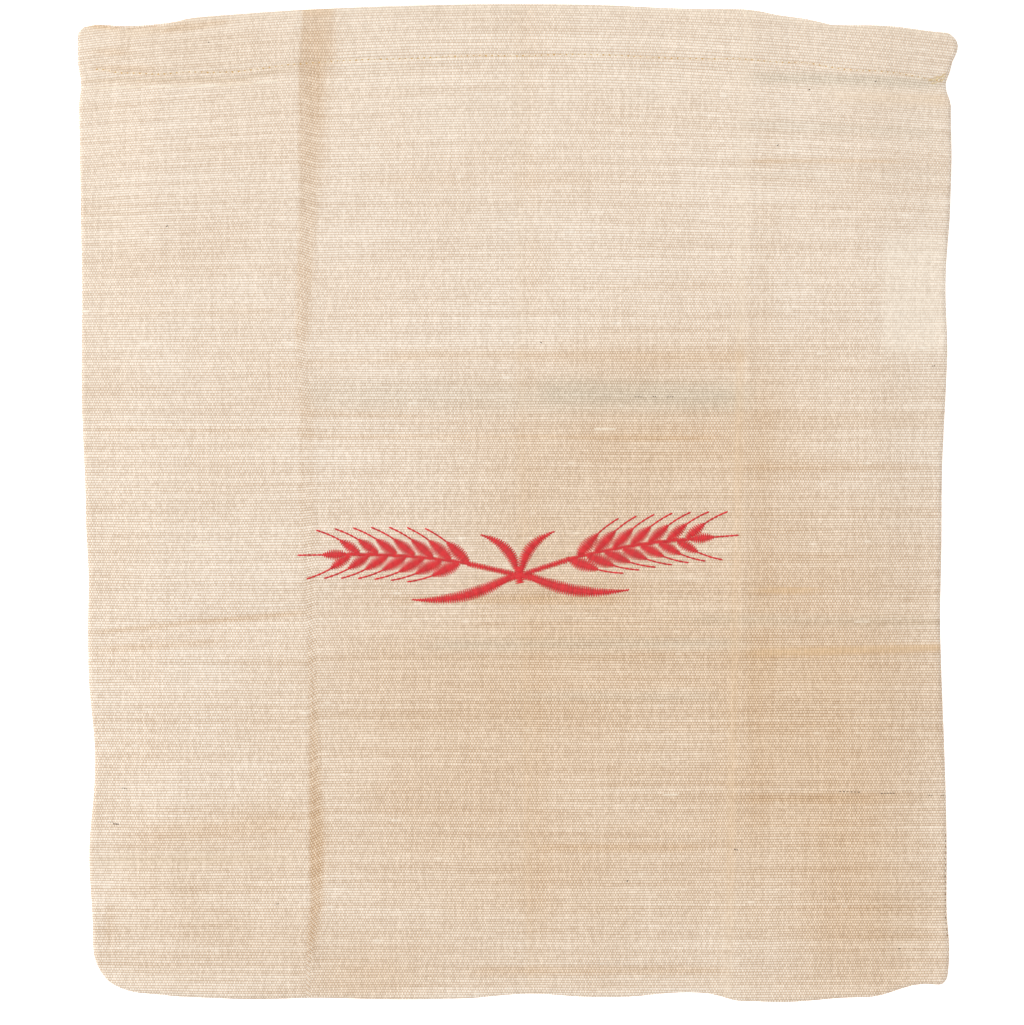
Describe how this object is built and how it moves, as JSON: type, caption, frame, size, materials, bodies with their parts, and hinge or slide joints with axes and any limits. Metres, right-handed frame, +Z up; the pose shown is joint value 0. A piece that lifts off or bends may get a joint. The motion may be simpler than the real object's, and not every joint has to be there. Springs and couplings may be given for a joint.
{
  "type": "linen bread bag",
  "caption": "Flat linen bread bag, open along its hemmed top edge, lying on its back with soft lengthwise fold ridges.",
  "frame": {"origin": "on the surface that the bag lies on, under the middle of its outline", "axes": "+X across the bag to its seamed side, +Y from the foot to the mouth, +Z up from the back cloth to the front cloth"},
  "size_m": [0.3575, 0.4047, 0.0099],
  "materials": {
    "linen": "coarse natural plain-weave linen, matt, slightly slubby, washed and creased",
    "label_cloth": "blank off-white woven tape"
  },
  "bodies": {
    "root": {"bag_cloth": "linen", "inner_label": "label_cloth"}
  },
  "joints": []
}
